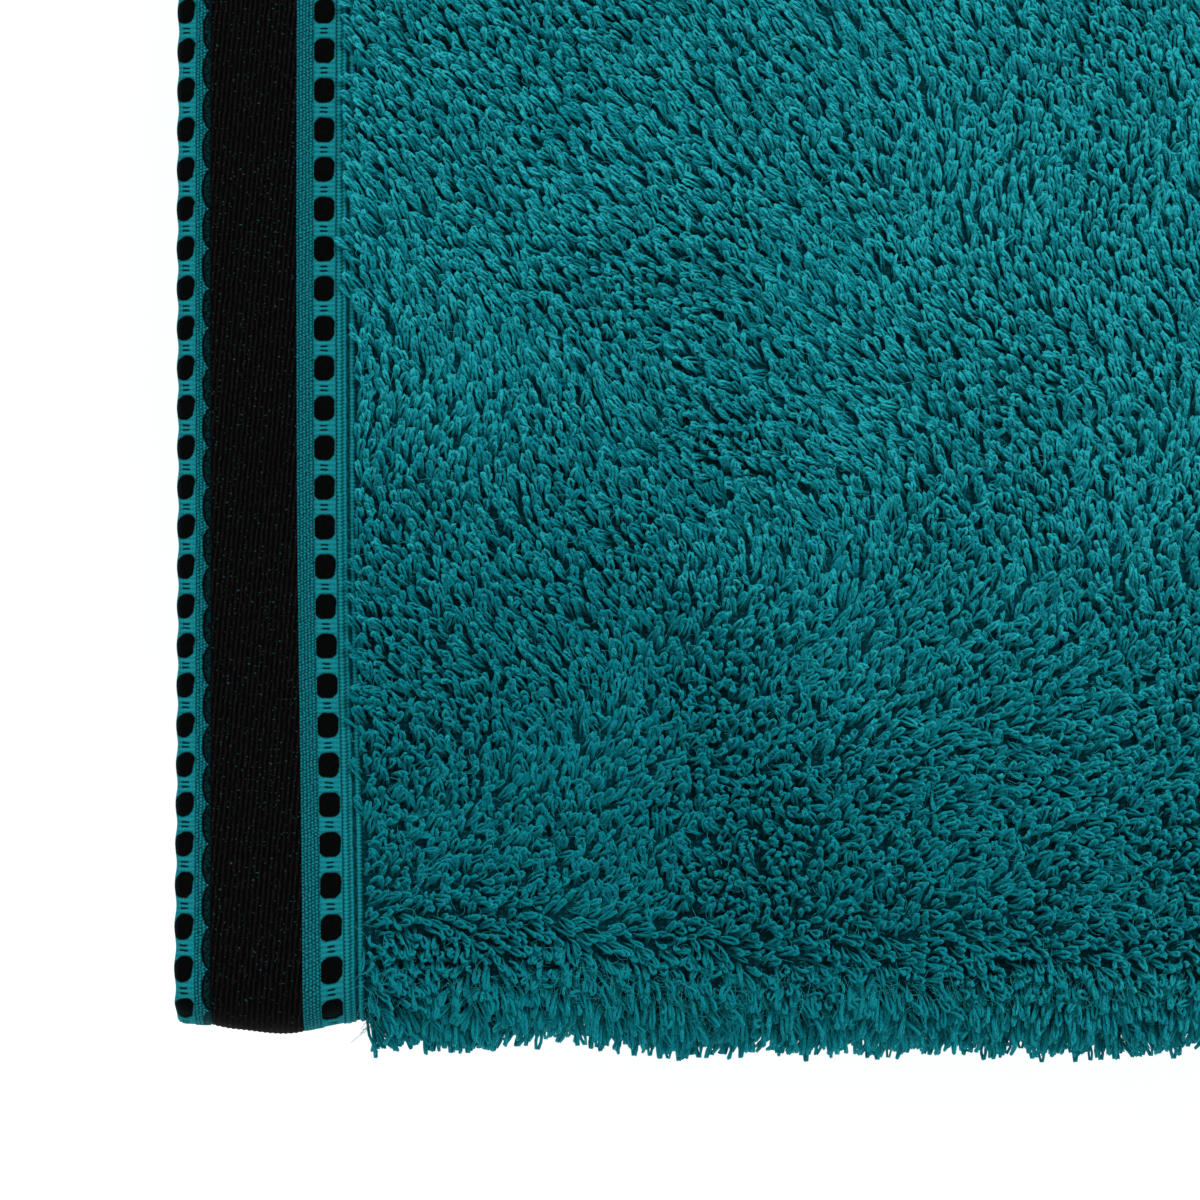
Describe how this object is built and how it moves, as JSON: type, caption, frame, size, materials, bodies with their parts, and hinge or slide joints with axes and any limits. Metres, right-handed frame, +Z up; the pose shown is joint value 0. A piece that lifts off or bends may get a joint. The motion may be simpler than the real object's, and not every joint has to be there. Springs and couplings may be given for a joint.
{
  "type": "bath towel set",
  "caption": "Folded terry bath towels stacked one on the other, with a woven ladder-and-band border; the upper towel lifts off and unfolds.",
  "frame": {"origin": "middle of the stack's footprint, on the face that it rests on", "axes": "+Z up; +X along the folded towels' long side, from the top end hem on the left to the right fold; +Y from the front fold to the rear"},
  "size_m": [0.4488, 0.236, 0.1208],
  "materials": {
    "terry": "soft cotton terry loops",
    "border_teal": "flat plain and ribbed weave",
    "border_dark": "brushed dark twill",
    "border_ladder": "dark weft floats between teal bars",
    "hem": "flat weave, turned and sewn",
    "thread": "polyester sewing thread"
  },
  "bodies": {
    "lower_towel": {"lower_top_panel": "terry", "lower_middle_panel": "terry", "lower_bottom_panel": "terry", "lower_right_fold": "terry", "lower_left_fold": "terry", "lower_outer_ladders": "border_ladder", "lower_scallop_strips": "border_teal", "lower_dark_bands": "border_dark", "lower_plain_strips": "border_teal", "lower_inner_ladders": "border_ladder", "lower_ribbed_strips": "border_teal", "lower_end_hems": "hem", "lower_end_hem_stitching": "thread", "lower_side_hems": "hem", "lower_side_stitching": "thread"},
    "upper_bottom": {"upper_bottom_panel": "terry", "upper_bottom_outer_ladder": "border_ladder", "upper_bottom_scallop_strip": "border_teal", "upper_bottom_dark_band": "border_dark", "upper_bottom_plain_strip": "border_teal", "upper_bottom_inner_ladder": "border_ladder", "upper_bottom_ribbed_strip": "border_teal", "upper_bottom_end_hem": "hem", "upper_bottom_end_hem_stitching": "thread", "upper_bottom_side_hems": "hem", "upper_bottom_side_stitching": "thread", "upper_left_fold": "terry", "upper_left_fold_side_hems": "hem"},
    "upper_middle": {"upper_middle_panel": "terry", "upper_middle_side_hems": "hem", "upper_middle_side_stitching": "thread", "upper_right_fold": "terry", "upper_right_fold_side_hems": "hem"},
    "upper_top": {"upper_top_panel": "terry", "upper_top_outer_ladder": "border_ladder", "upper_top_scallop_strip": "border_teal", "upper_top_dark_band": "border_dark", "upper_top_plain_strip": "border_teal", "upper_top_inner_ladder": "border_ladder", "upper_top_ribbed_strip": "border_teal", "upper_top_end_hem": "hem", "upper_top_end_hem_stitching": "thread", "upper_top_side_hems": "hem", "upper_top_side_stitching": "thread"}
  },
  "joints": [
    {"name": "lift", "type": "slide", "parent": "lower_towel", "child": "upper_bottom", "axis": [0, 0, 1], "range_m": [0, 0.3]},
    {"name": "open_pair", "type": "hinge", "parent": "upper_bottom", "child": "upper_middle", "pos_m": [-0.21252, 0, 0.0806], "axis": [0, -1, 0], "range_deg": [0, 115], "deforming": ["upper_left_fold", "upper_left_fold_side_hems"]},
    {"name": "open_top", "type": "hinge", "parent": "upper_middle", "child": "upper_top", "pos_m": [0.21452, 0, 0.1008], "axis": [0, 1, 0], "range_deg": [0, 180], "deforming": ["upper_right_fold", "upper_right_fold_side_hems"]}
  ]
}
